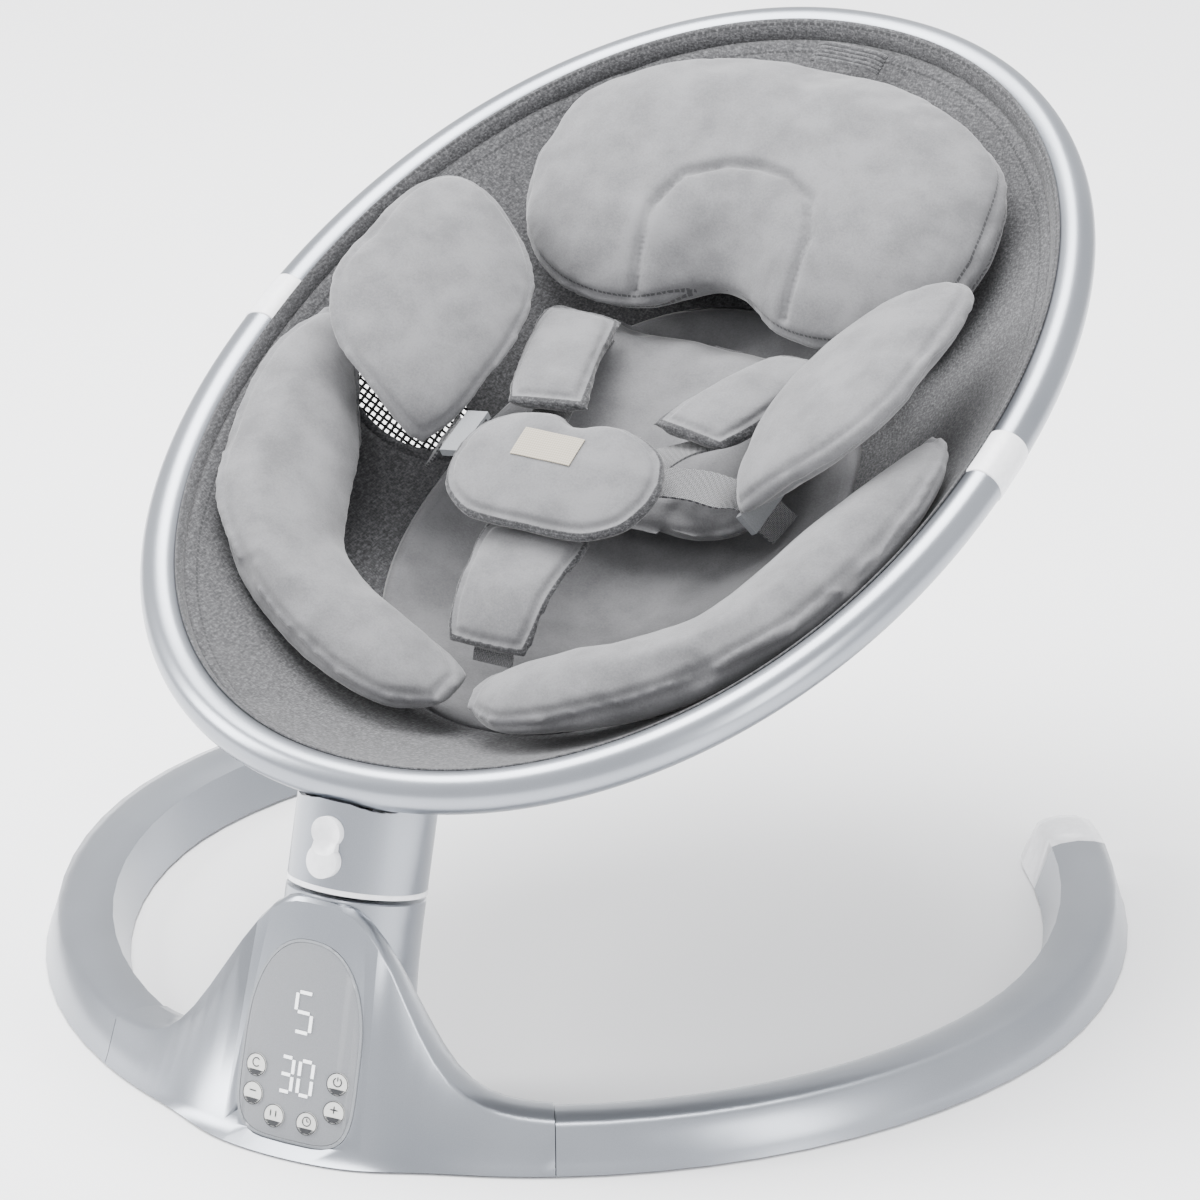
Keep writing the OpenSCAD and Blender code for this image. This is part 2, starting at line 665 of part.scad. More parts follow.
base_housing();
base_bottom_plate();
bottom_screws();
rubber_feet();
leg_left();
leg_right();
leg_spigot_left();
leg_spigot_right();
leg_cap_left();
leg_cap_right();
control_panel();
panel_bezel();
display_digits();
touch_key_marks();
circuit_board();
speaker();
power_inlet();
post_shell();
lower_bearing();
upper_bearing();
drive_coil();
neck_shell();
neck_collar();
swing_shaft();
drive_arm();
recline_pin();
recline_latch();
recline_knuckle();
ring_clamp();
ring_lower_tube();
ring_upper_tube();
ring_connector_left();
ring_connector_right();
sling_fabric();
mesh_window_left();
mesh_window_right();
head_tab();
seat_pad();
back_pad();
upper_petal_left();
upper_petal_right();
lower_petal_left();
lower_petal_right();
head_pillow();
shoulder_pad_left();
shoulder_pad_right();
shoulder_strap_left();
shoulder_strap_right();
waist_strap_left();
waist_strap_right();
strap_adjusters();
crotch_strap();
crotch_pad();
buckle_body();
buckle_tongue_left();
buckle_tongue_right();
buckle_button();
buckle_cover();
cover_label();
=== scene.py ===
import bpy
import math
import random
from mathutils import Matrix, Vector, kdtree, noise


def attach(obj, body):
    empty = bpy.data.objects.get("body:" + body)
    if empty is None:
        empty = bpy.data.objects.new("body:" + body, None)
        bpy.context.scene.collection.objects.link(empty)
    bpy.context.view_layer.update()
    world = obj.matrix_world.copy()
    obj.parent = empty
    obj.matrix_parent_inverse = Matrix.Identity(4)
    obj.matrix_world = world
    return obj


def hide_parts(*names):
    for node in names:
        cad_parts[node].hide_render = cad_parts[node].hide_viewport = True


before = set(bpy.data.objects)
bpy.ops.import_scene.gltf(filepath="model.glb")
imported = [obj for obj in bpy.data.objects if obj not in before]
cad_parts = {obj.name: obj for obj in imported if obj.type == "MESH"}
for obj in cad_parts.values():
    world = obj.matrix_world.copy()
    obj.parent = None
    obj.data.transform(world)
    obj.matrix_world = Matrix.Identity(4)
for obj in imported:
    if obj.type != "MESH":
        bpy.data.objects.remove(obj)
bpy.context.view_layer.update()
random.seed(7)

# ---- sizes of the swing, in millimetres ---------------------------------
HALF_W, HALF_L, TUBE_R = 232.8, 325.6, 12.0
RING_Y, RING_Z, TILT = 33.03, 315.85, math.radians(21.3)
BOWL_DEEP, LOW_V = 122.0, -60.0
LEAN = math.radians(15)
JOINT_Y, JOINT_Z = -258.65, 131.0
BASE_Y, BASE_W, BASE_D = -6.25, 306.0, 330.0


def seat_point(u, v, w):
    """A place in the tilted plane of the seat ring, as metres in the frame."""
    c, s = math.cos(TILT), math.sin(TILT)
    return Vector((u, RING_Y + v * c - w * s, RING_Z + v * s + w * c)) / 1000


def post_point(x, y, s):
    """A place on the leaning post, s above the swing joint."""
    c, n = math.cos(LEAN), math.sin(LEAN)
    return Vector((x, JOINT_Y + y * c + s * n, JOINT_Z - y * n + s * c)) / 1000


def power(c, n):
    return math.copysign(abs(c) ** (2 / n), c)


def rim_point(t, g=0.0):
    """Centre line of the ring at angle t, pulled in by g."""
    u = (HALF_W - g) * power(math.cos(t), 2.1) * (1 - 0.015 * math.sin(t))
    return u, (HALF_L - g) * power(math.sin(t), 2.1)


def rim_outward(t):
    a, b = rim_point(t - 0.01), rim_point(t + 0.01)
    d = Vector((b[1] - a[1], a[0] - b[0]))
    return d.normalized()


def bowl_height(k, t):
    lift = 1.5 - 0.35 * max(0.0, math.sin(t)) ** 1.5
    soft = math.sqrt(0.004)
    q = (math.sqrt(k * k + 0.004) - soft) / (math.sqrt(1.004) - soft)
    return 2 - (BOWL_DEEP + 2) * (1 - max(0.0, q) ** lift)


def bowl_point(k, t, lift=0.0):
    u, v = rim_point(t, TUBE_R + 0.9)
    return u * k, LOW_V + (v - LOW_V) * k, bowl_height(k, t) + lift


# ---- modelling helpers ---------------------------------------------------
def deselect():
    if bpy.context.object and bpy.context.object.mode != "OBJECT":
        bpy.ops.object.mode_set(mode="OBJECT")
    bpy.ops.object.select_all(action="DESELECT")


def pick(obj):
    deselect()
    obj.select_set(True)
    bpy.context.view_layer.objects.active = obj
    return obj


def tidy_mesh(obj, merge=0.00005, fill=False, normals=True):
    pick(obj)
    bpy.ops.object.mode_set(mode="EDIT")
    bpy.ops.mesh.select_all(action="SELECT")
    bpy.ops.mesh.remove_doubles(threshold=merge)
    if fill:
        bpy.ops.mesh.fill_holes(sides=0)
        bpy.ops.mesh.select_all(action="SELECT")
    if normals:
        bpy.ops.mesh.normals_make_consistent(inside=False)
    bpy.ops.object.mode_set(mode="OBJECT")
    return obj


def shaped_grid(name, along, around, place, fill=False, merge=0.00005, normals=True):
    """A grid primitive whose corners (a, b), each 0 to 1, go where place says."""
    deselect()
    bpy.ops.mesh.primitive_grid_add(x_subdivisions=along, y_subdivisions=around, size=1)
    obj = bpy.context.object
    obj.name = name
    obj.data.name = name
    for v in obj.data.vertices:
        v.co = place(v.co.x + 0.5, v.co.y + 0.5)
    return tidy_mesh(obj, merge, fill, normals)


def modify(obj, kind, **settings):
    pick(obj)
    m = obj.modifiers.new(kind.title(), kind)
    for key, value in settings.items():
        setattr(m, key, value)
    bpy.ops.object.modifier_apply(modifier=m.name)
    return obj


def delete_faces(obj, unwanted):
    """Removes the faces whose centre the given test picks out."""
    pick(obj)
    bpy.ops.object.mode_set(mode="EDIT")
    bpy.ops.mesh.select_mode(type="FACE")
    bpy.ops.mesh.select_all(action="DESELECT")
    bpy.ops.object.mode_set(mode="OBJECT")
    for face in obj.data.polygons:
        face.select = unwanted(face.center)
    bpy.ops.object.mode_set(mode="EDIT")
    bpy.ops.mesh.delete(type="FACE")
    bpy.ops.object.mode_set(mode="OBJECT")
    return obj


def smooth(obj, degrees=40):
    pick(obj)
    bpy.ops.object.shade_smooth_by_angle(angle=math.radians(degrees))
    return obj


def smooth_all(obj):
    pick(obj)
    bpy.ops.object.shade_smooth()
    return obj


def join(name, parts):
    deselect()
    for p in parts:
        p.select_set(True)
    bpy.context.view_layer.objects.active = parts[0]
    bpy.ops.object.join()
    parts[0].name = name
    parts[0].data.name = name
    return parts[0]


def moulded_copy(node, name, degrees=35, bevel=0.0):
    """A merged, smoothly shaded copy of a hard node, with its edges eased."""
    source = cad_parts[node]
    obj = bpy.data.objects.new(name, source.data.copy())
    bpy.context.scene.collection.objects.link(obj)
    obj.matrix_world = source.matrix_world.copy()
    obj.data.materials.clear()
    obj.hide_render = False
    pick(obj)
    bpy.ops.object.transform_apply(location=True, rotation=True, scale=True)
    tidy_mesh(obj, 0.00002, normals=False)
    pick(obj)
    bpy.ops.object.mode_set(mode="EDIT")
    bpy.ops.mesh.select_all(action="SELECT")
    bpy.ops.mesh.dissolve_limited(angle_limit=math.radians(0.6))
    bpy.ops.object.mode_set(mode="OBJECT")
    if bevel:
        modify(obj, "BEVEL", width=bevel, segments=2, limit_method="ANGLE",
               angle_limit=math.radians(30))
    smooth(obj, degrees)
    return obj


def finish_piece(obj, body, material, *nodes, slot=None):
    obj.data.materials.clear()
    obj.data.materials.append(material)
    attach(obj, body)
    if nodes:
        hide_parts(*nodes)
    return obj


# ---- materials -------------------------------------------------------------
def hexcol(code):
    out = []
    for k in (0, 2, 4):
        c = int(code[k:k + 2], 16) / 255
        out.append(c / 12.92 if c <= 0.04045 else ((c + 0.055) / 1.055) ** 2.4)
    return (*out, 1.0)


def node(tree, kind, links=None, inputs=None, stops=None, **settings):
    """Adds one shader node with its settings, values, colour stops and links."""
    n = tree.nodes.new(kind)
    for key, value in settings.items():
        setattr(n, key, value)
    for key, value in (inputs or {}).items():
        n.inputs[key].default_value = value
    for key, source in (links or {}).items():
        tree.links.new(source, n.inputs[key])
    for k, (place, colour) in enumerate(stops or []):
        elements = n.color_ramp.elements
        e = elements[k] if k < 2 else elements.new(place)
        e.position, e.color = place, hexcol(colour)
    return n.outputs[0]


def new_material(name, **settings):
    m = bpy.data.materials.new(name)
    m.use_nodes = True
    shader = m.node_tree.nodes["Principled BSDF"]
    for key, value in settings.items():
        shader.inputs[key.replace("_", " ")].default_value = value
    at = m.node_tree.nodes.new("ShaderNodeTexCoord").outputs["Object"]
    return m, m.node_tree, shader, at


def silver_painted_abs():
    # Moulded ABS and bent tube under sprayed metallic paint and a satin clear coat:
    # a soft broad highlight and a fine flake of about 0.4 mm.
    m, t, s, at = new_material("silver_sprayed_paint", Metallic=0.9, Roughness=0.3,
                               Coat_Weight=0.3, Coat_Roughness=0.2)
    flake = node(t, "ShaderNodeTexNoise", {0: at}, {"Scale": 2600.0, "Detail": 2.0})
    cloud = node(t, "ShaderNodeTexNoise", {0: at}, {"Scale": 9.0, "Detail": 2.0})
    part = node(t, "ShaderNodeMath", {0: cloud}, {1: 0.65}, operation="MULTIPLY")
    tone = node(t, "ShaderNodeMath", {0: flake, 2: part}, {1: 0.35}, operation="MULTIPLY_ADD")
    colour = node(t, "ShaderNodeValToRGB", {0: tone}, stops=[(0.3, "868A91"), (0.7, "9DA1A8")])
    grain = node(t, "ShaderNodeBump", {"Height": flake}, {"Strength": 0.05, "Distance": 0.0002})
    t.links.new(colour, s.inputs["Base Color"])
    t.links.new(grain, s.inputs["Normal"])
    return m


def white_gloss_plastic():
    # Injection-moulded gloss ABS with a faint orange-peel skin of about 4 mm.
    m, t, s, at = new_material("white_gloss_abs", Roughness=0.26, IOR=1.5)
    peel = node(t, "ShaderNodeTexNoise", {0: at}, {"Scale": 260.0, "Detail": 1.0})
    colour = node(t, "ShaderNodeValToRGB", {0: peel}, stops=[(0.35, "EDEDF0"), (0.65, "F4F4F7")])
    skin = node(t, "ShaderNodeBump", {"Height": peel}, {"Strength": 0.05, "Distance": 0.0004})
    t.links.new(colour, s.inputs["Base Color"])
    t.links.new(skin, s.inputs["Normal"])
    return m


def moulded_plastic(name, low, high, rough=0.55):
    # Moulded plastic with a spark-eroded grain of about 0.6 mm.
    m, t, s, at = new_material(name, Roughness=rough, IOR=1.5)
    grain = node(t, "ShaderNodeTexNoise", {0: at}, {"Scale": 1500.0, "Detail": 3.0})
    colour = node(t, "ShaderNodeValToRGB", {0: grain}, stops=[(0.3, low), (0.7, high)])
    skin = node(t, "ShaderNodeBump", {"Height": grain}, {"Strength": 0.2, "Distance": 0.0003})
    t.links.new(colour, s.inputs["Base Color"])
    t.links.new(skin, s.inputs["Normal"])
    return m


def turned_steel():
    # Turned mild steel: fine rings about 0.3 mm apart along the part.
    m, t, s, at = new_material("turned_steel", Metallic=1.0, Roughness=0.32)
    lines = node(t, "ShaderNodeTexWave", {0: at}, {"Scale": 500.0, "Distortion": 1.0},
                 bands_direction="Z")
    colour = node(t, "ShaderNodeValToRGB", {0: lines}, stops=[(0.2, "8F9194"), (0.8, "AEB0B3")])
    skin = node(t, "ShaderNodeBump", {"Height": lines}, {"Strength": 0.1, "Distance": 0.0002})
    t.links.new(colour, s.inputs["Base Color"])
    t.links.new(skin, s.inputs["Normal"])
    return m


def panel_film():
    # Printed polyester film over ABS: an even pale grey with a soft gloss.
    m, t, s, at = new_material("panel_printed_film", Roughness=0.34, IOR=1.5,
                               Coat_Weight=0.3, Coat_Roughness=0.12)
    fine = node(t, "ShaderNodeTexNoise", {0: at}, {"Scale": 1800.0, "Detail": 1.0})
    colour = node(t, "ShaderNodeValToRGB", {0: fine}, stops=[(0.3, "7A7C80"), (0.7, "828488")])
    skin = node(t, "ShaderNodeBump", {"Height": fine}, {"Strength": 0.03, "Distance": 0.0002})
    t.links.new(colour, s.inputs["Base Color"])
    t.links.new(skin, s.inputs["Normal"])
    return m


def lit_bars():
    # White light behind the film, a little uneven along each bar.
    m, t, s, at = new_material("display_lit_bars", Roughness=0.4, Emission_Strength=1.0)
    fine = node(t, "ShaderNodeTexNoise", {0: at}, {"Scale": 900.0})
    colour = node(t, "ShaderNodeValToRGB", {0: fine}, stops=[(0.3, "F7FAFD"), (0.7, "FFFFFF")])
    t.links.new(colour, s.inputs["Base Color"])
    t.links.new(colour, s.inputs["Emission Color"])
    return m


def printed_ink(name, low, high):
    # Screen-printed ink, matt, with a slight speckle.
    m, t, s, at = new_material(name, Roughness=0.45)
    fine = node(t, "ShaderNodeTexNoise", {0: at}, {"Scale": 1500.0})
    colour = node(t, "ShaderNodeValToRGB", {0: fine}, stops=[(0.3, low), (0.7, high)])
    t.links.new(colour, s.inputs["Base Color"])
    return m


def heather_yarns(t, at):
    """Mixed dark and pale yarns: fine flecks along and across the cloth."""
    warp = node(t, "ShaderNodeMapping", {0: at}, {"Scale": (900, 260, 900)})
    weft = node(t, "ShaderNodeMapping", {0: at}, {"Scale": (260, 900, 900)})
    fine = {"Scale": 1.0, "Detail": 3.0, "Roughness": 0.6}
    a = node(t, "ShaderNodeTexNoise", {0: warp}, fine)
    b = node(t, "ShaderNodeTexNoise", {0: weft}, fine)
    half = node(t, "ShaderNodeMath", {0: b}, {1: 0.45}, operation="MULTIPLY")
    mix = node(t, "ShaderNodeMath", {0: a, 2: half}, {1: 0.55}, operation="MULTIPLY_ADD")
    colour = node(t, "ShaderNodeValToRGB", {0: mix},
                  stops=[(0.38, "29292B"), (0.64, "636365"), (0.5, "424244")])
    return mix, colour


def stitch_line(t, inset, half_width, run_share, gap):
    """A dashed thread that runs inset mm inside a sewn rim."""
    rim = node(t, "ShaderNodeAttribute", attribute_name="rim_mm")
    run = node(t, "ShaderNodeAttribute", attribute_name="run_mm")
    rim = rim.node.outputs["Fac"]
    run = run.node.outputs["Fac"]
    line = node(t, "ShaderNodeMath", {0: rim}, {1: inset, 2: half_width}, operation="COMPARE")
    turns = node(t, "ShaderNodeMath", {0: run}, {1: run_share}, operation="MULTIPLY")
    part = node(t, "ShaderNodeMath", {0: turns}, operation="FRACT")
    dash = node(t, "ShaderNodeMath", {0: part}, {1: gap}, operation="LESS_THAN")
    return rim, node(t, "ShaderNodeMath", {0: line, 1: dash}, operation="MULTIPLY")


def melange_cloth(name="melange_woven_canvas", hem=0.0):
    # Woven polyester canvas in mixed charcoal and grey yarn, about 1 mm a thread, with
    # the row of stitches that holds its hem.
    m, t, s, at = new_material(name, Roughness=0.88, Sheen_Weight=0.12, Sheen_Roughness=0.5)
    mix, colour = heather_yarns(t, at)
    height = mix
    if hem:
        rim, thread = stitch_line(t, hem, 0.7, 0.25, 0.7)
        share = node(t, "ShaderNodeMath", {0: thread}, {1: 0.75}, operation="MULTIPLY")
        blend = t.nodes.new("ShaderNodeMix")
        blend.data_type = "RGBA"
        t.links.new(share, blend.inputs[0])
        t.links.new(colour, blend.inputs[6])
        blend.inputs[7].default_value = hexcol("202022")
        colour = blend.outputs[2]
        groove = node(t, "ShaderNodeMath", {0: rim}, {1: hem, 2: 1.3}, operation="COMPARE")
        height = node(t, "ShaderNodeMath", {0: groove, 2: mix}, {1: -1.2}, operation="MULTIPLY_ADD")
    skin = node(t, "ShaderNodeBump", {"Height": height}, {"Strength": 0.45, "Distance": 0.0006})
    t.links.new(colour, s.inputs["Base Color"])
    t.links.new(skin, s.inputs["Normal"])
    return m


def cushion_cloth(name, band=0.0, stitch=9.0):
    """Velvet with a sewn line near its rim, and a melange binding up to band mm wide."""
    # Short-pile polyester velvet: pale, with a bright sheen at grazing angles and
    # patches of about 20 mm where the pile lies another way.
    m, t, s, at = new_material(name, Roughness=0.92, Sheen_Weight=0.35, Sheen_Roughness=0.4)
    patch = node(t, "ShaderNodeTexNoise", {0: at}, {"Scale": 38.0, "Detail": 3.0, "Roughness": 0.55})
    hair = node(t, "ShaderNodeTexNoise", {0: at}, {"Scale": 800.0, "Detail": 3.0, "Roughness": 0.7})
    part = node(t, "ShaderNodeMath", {0: hair}, {1: 0.4}, operation="MULTIPLY")
    tone = node(t, "ShaderNodeMath", {0: patch, 2: part}, {1: 0.6}, operation="MULTIPLY_ADD")
    colour = node(t, "ShaderNodeValToRGB", {0: tone}, stops=[(0.38, "606062"), (0.6, "747476")])
    rim, thread = stitch_line(t, stitch, 0.6, 0.3, 0.78)
    height = node(t, "ShaderNodeMath", {0: hair}, {1: 0.5}, operation="MULTIPLY")
    if band:
        mix, dark = heather_yarns(t, at)
        inside = node(t, "ShaderNodeMath", {0: rim}, {1: band}, operation="LESS_THAN")
        edge = t.nodes.new("ShaderNodeMix")
        edge.data_type = "RGBA"
        t.links.new(inside, edge.inputs[0])
        t.links.new(colour, edge.inputs[6])
        t.links.new(dark, edge.inputs[7])
        colour = edge.outputs[2]
        height = node(t, "ShaderNodeMath", {0: inside, 2: height}, {1: 0.7}, operation="MULTIPLY_ADD")
    share = node(t, "ShaderNodeMath", {0: thread}, {1: 0.7}, operation="MULTIPLY")
    blend = t.nodes.new("ShaderNodeMix")
    blend.data_type = "RGBA"
    t.links.new(share, blend.inputs[0])
    t.links.new(colour, blend.inputs[6])
    blend.inputs[7].default_value = hexcol("2A2A2C" if band else "6C6C6F")
    height = node(t, "ShaderNodeMath", {0: thread, 2: height}, {1: -0.8}, operation="MULTIPLY_ADD")
    skin = node(t, "ShaderNodeBump", {"Height": height}, {"Strength": 0.4, "Distance": 0.0008})
    t.links.new(blend.outputs[2], s.inputs["Base Color"])
    t.links.new(skin, s.inputs["Normal"])
    return m


def webbing_cloth():
    # Polyester harness webbing: a basket weave of 1.6 mm bundles, grey, slightly glossy.
    m, t, s, at = new_material("harness_basket_webbing", Roughness=0.55, Sheen_Weight=0.2)
    uv = node(t, "ShaderNodeUVMap", uv_map="UVMap")
    squares = node(t, "ShaderNodeTexChecker", {0: uv}, {"Scale": 500.0})
    squares = squares.node.outputs["Fac"]
    along = node(t, "ShaderNodeTexWave", {0: uv}, {"Scale": 320.0}, bands_direction="X")
    across = node(t, "ShaderNodeTexWave", {0: uv}, {"Scale": 320.0}, bands_direction="Y")
    turn = t.nodes.new("ShaderNodeMix")
    for key, source in ((0, squares), (2, along.node.outputs["Fac"]), (3, across.node.outputs["Fac"])):
        t.links.new(source, turn.inputs[key])
    weave = turn.outputs[0]
    colour = node(t, "ShaderNodeValToRGB", {0: weave}, stops=[(0.1, "3C3C3E"), (0.6, "848486")])
    skin = node(t, "ShaderNodeBump", {"Height": weave}, {"Strength": 0.8, "Distance": 0.0007})
    t.links.new(colour, s.inputs["Base Color"])
    t.links.new(skin, s.inputs["Normal"])
    return m


def net_cloth():
    # Knitted polyester net in black yarn of about 1.5 mm.
    m, t, s, at = new_material("black_knitted_net", Roughness=0.75)
    yarn = node(t, "ShaderNodeTexNoise", {0: at}, {"Scale": 1200.0, "Detail": 2.0})
    colour = node(t, "ShaderNodeValToRGB", {0: yarn}, stops=[(0.3, "060607"), (0.7, "0E0E10")])
    skin = node(t, "ShaderNodeBump", {"Height": yarn}, {"Strength": 0.4, "Distance": 0.0004})
    t.links.new(colour, s.inputs["Base Color"])
    t.links.new(skin, s.inputs["Normal"])
    return m


def woven_label():
    # Woven cotton label, natural beige, about 14 threads to the centimetre.
    m, t, s, at = new_material("beige_woven_label", Roughness=0.85)
    warp = node(t, "ShaderNodeTexWave", {0: at}, {"Scale": 220.0}, bands_direction="X")
    weft = node(t, "ShaderNodeTexWave", {0: at}, {"Scale": 220.0}, bands_direction="Y")
    both_ways = node(t, "ShaderNodeMath", {0: warp.node.outputs["Fac"], 1: weft.node.outputs["Fac"]},
                     operation="ADD")
    mix = node(t, "ShaderNodeMath", {0: both_ways}, {1: 0.5}, operation="MULTIPLY")
    colour = node(t, "ShaderNodeValToRGB", {0: mix}, stops=[(0.2, "978F80"), (0.8, "AEA698")])
    skin = node(t, "ShaderNodeBump", {"Height": mix}, {"Strength": 0.4, "Distance": 0.0004})
    t.links.new(colour, s.inputs["Base Color"])
    t.links.new(skin, s.inputs["Normal"])
    return m


def studio_paper():
    # Seamless studio paper, almost white, matt.
    m, t, s, at = new_material("studio_paper", Roughness=0.8)
    fine = node(t, "ShaderNodeTexNoise", {0: at}, {"Scale": 4.0})
    colour = node(t, "ShaderNodeValToRGB", {0: fine}, stops=[(0.3, "FAFAFB"), (0.7, "FCFCFD")])
    t.links.new(colour, s.inputs["Base Color"])
    return m


SILVER = silver_painted_abs()
WHITE = white_gloss_plastic()
CHARCOAL = moulded_plastic("charcoal_moulded_abs", "232426", "2D2E31")
SMOKE = moulded_plastic("smoke_grey_acetal", "77797C", "85878A", 0.3)
RUBBER = moulded_plastic("moulded_rubber_foot", "1B1B1C", "242425", 0.8)
STEEL = turned_steel()
PANEL = panel_film()
TRIM = moulded_plastic("panel_edge_trim", "7E8185", "8B8E92", 0.3)
LIT = lit_bars()
KEY = printed_ink("key_mark_ink", "D2D2CE", "DBDBD8")
INK = printed_ink("dark_key_ink", "242528", "303134")
BOARD = printed_ink("circuit_board_lacquer", "17512A", "1D5E33")
COPPER = moulded_plastic("enamelled_copper_winding", "8A4A26", "A35E33", 0.35)
RED = moulded_plastic("red_release_abs", "9E2420", "AC2C27", 0.35)
MELANGE = melange_cloth()
HEMMED = melange_cloth("melange_canvas_with_hem_stitch", 9.0)
NET = net_cloth()
VELVET = cushion_cloth("light_grey_velvet", stitch=8.0)
BOUND = cushion_cloth("velvet_with_melange_binding", band=5.5, stitch=4.5)
PILLOW = cushion_cloth("pillow_velvet_with_piping", band=3.5, stitch=10.0)
WEBBING = webbing_cloth()
LABEL = woven_label()


# ---- hard parts ------------------------------------------------------------
for name, body, material, degrees, bevel in (
        ("base_housing", "base", SILVER, 42, 0.0),
        ("leg_left", "base", SILVER, 42, 0.0), ("leg_right", "base", SILVER, 42, 0.0),
        ("leg_cap_left", "base", WHITE, 42, 0.0), ("leg_cap_right", "base", WHITE, 42, 0.0),
        ("neck_collar", "neck", WHITE, 35, 0.0004),
        ("recline_latch", "latch", WHITE, 35, 0.0007),
        ("control_panel", "base", PANEL, 35, 0.0), ("panel_bezel", "base", TRIM, 35, 0.0),
        ("power_inlet", "base", CHARCOAL, 35, 0.0004)):
    finish_piece(moulded_copy(name, name + "_moulded", degrees, bevel), body, material, name)

for name, material in (
        ("base_bottom_plate", CHARCOAL), ("bottom_screws", STEEL), ("rubber_feet", RUBBER),
        ("leg_spigot_left", CHARCOAL), ("leg_spigot_right", CHARCOAL),
        ("display_digits", LIT), ("touch_key_marks", KEY), ("circuit_board", BOARD),
        ("speaker", CHARCOAL), ("lower_bearing", STEEL), ("upper_bearing", STEEL),
        ("drive_coil", COPPER), ("swing_shaft", STEEL), ("drive_arm", CHARCOAL),
        ("recline_pin", STEEL), ("recline_knuckle", STEEL), ("ring_clamp", CHARCOAL),
        ("buckle_body", CHARCOAL), ("buckle_tongue_left", CHARCOAL),
        ("buckle_tongue_right", CHARCOAL), ("buckle_button", RED),
        ("strap_adjusters", SMOKE)):
    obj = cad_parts[name]
    obj.data.materials.clear()
    obj.data.materials.append(material)


POST_R, PIN_Y, PIN_Z = 39.0, -249.33, 165.77
POST_PROFILE = [(-97, 47), (-84, 44.4), (-72, 42), (-58, 40.6), (-45, 39.7), (-30, 39.2),
                (-20, 39), (-10, 39), (-3.2, 39), (-2.5, 38.4), (-2.5, 30)]


def hump_height(x):
    return 27 + 12 * math.exp(-(x / 118) ** 4) + 96 * math.exp(-(abs(x) / 73) ** 3.2)


def post_place(a, b):
    p = a * (len(POST_PROFILE) - 1)
    i = min(int(p), len(POST_PROFILE) - 2)
    g = p - i
    s, r = (POST_PROFILE[i][k] * (1 - g) + POST_PROFILE[i + 1][k] * g for k in (0, 1))
    f = 2 * math.pi * b
    return post_point(r * math.cos(f), r * math.sin(f), s)


def inside_housing(centre):
    """True where the post stands within the hump, behind its front face."""
    x, y, z = centre * 1000
    bow = BASE_W * BASE_W / BASE_D
    front = BASE_Y - BASE_D + bow - math.sqrt(bow * bow - x * x) + 0.27 * z
    return y < front + 2.2 and z < hump_height(x) - 1


post = delete_faces(shaped_grid("post_shell_turned", 80, 120, post_place), inside_housing)
modify(post, "SOLIDIFY", thickness=0.0015, offset=-1)
finish_piece(smooth(post, 40), "base", SILVER, "post_shell")


def neck_top(x, y):
    """Where the neck ends: a slope down to the back, clear of the ring tube."""
    c, n = math.cos(LEAN), math.sin(LEAN)
    k = math.tan(math.radians(18))
    s = (PIN_Z + 25 - JOINT_Z + y * n - k * (JOINT_Y - PIN_Y + 34 + y * c)) / (c + k * n)
    for turn in range(60):
        u, v, w = seat_place_of(post_point(x, y, s))
        ring = -HALF_L * (1 - abs(u / HALF_W) ** 2.1) ** (1 / 2.1)
        if math.hypot(v - ring, w) > TUBE_R + 1.6:
            break
        s -= 0.4
    return s


def seat_place_of(co):
    """The inverse of seat_point: a world place as u, v, w in millimetres."""
    c, s = math.cos(TILT), math.sin(TILT)
    y, z = co.y * 1000 - RING_Y, co.z * 1000 - RING_Z
    return co.x * 1000, y * c + z * s, -y * s + z * c


def neck_place(a, b):
    f = 2 * math.pi * b
    x, y = POST_R * math.cos(f), POST_R * math.sin(f)
    return post_point(x, y, 3 + (neck_top(x, y) - 3) * a)


neck = shaped_grid("neck_shell_moulded", 24, 120, neck_place)
modify(neck, "SOLIDIFY", thickness=0.003, offset=-1)
finish_piece(smooth(neck, 40), "neck", SILVER, "neck_shell")


def ring_tube(name, t0, t1, r, steps=150):
    """A round tube along the ring from angle t0 to t1, closed at its ends."""
    def place(a, b):
        t = math.radians(t0 + (t1 - t0) * a)
        u, v = rim_point(t)
        n = rim_outward(t)
        f = 2 * math.pi * b
        return seat_point(u + n.x * r * math.cos(f), v + n.y * r * math.cos(f), r * math.sin(f))
    return smooth(shaped_grid(name, steps, 36, place, fill=True), 50)


finish_piece(ring_tube("ring_upper_tube_bent", 4.3, 175.7, TUBE_R), "seat", SILVER, "ring_upper_tube")
finish_piece(ring_tube("ring_lower_tube_bent", -179.1, -0.9, TUBE_R), "seat", SILVER, "ring_lower_tube")
for side, t0, t1 in (("right", -0.95, 4.35), ("left", 175.65, 180.95)):
    sleeve = ring_tube("ring_sleeve_" + side, t0, t1, TUBE_R + 0.6, 12)
    modify(sleeve, "BEVEL", width=0.0008, segments=2, limit_method="ANGLE", angle_limit=0.9)
    finish_piece(smooth(sleeve, 50), "seat", WHITE, "ring_connector_" + side)


# ---- display and key marks ---------------------------------------------------
HOLE_R = BASE_W * BASE_W / BASE_D


def panel_point(x, h, out=0.0):
    """A place on the curved panel face at x, h up its slope, out from it."""
    r = HOLE_R + out
    y = HOLE_R - math.sqrt(r * r - x * x)
    c, n = math.cos(LEAN), math.sin(LEAN)
    return Vector((x, BASE_Y - BASE_D + y * c + h * n, -y * n + h * c)) / 1000


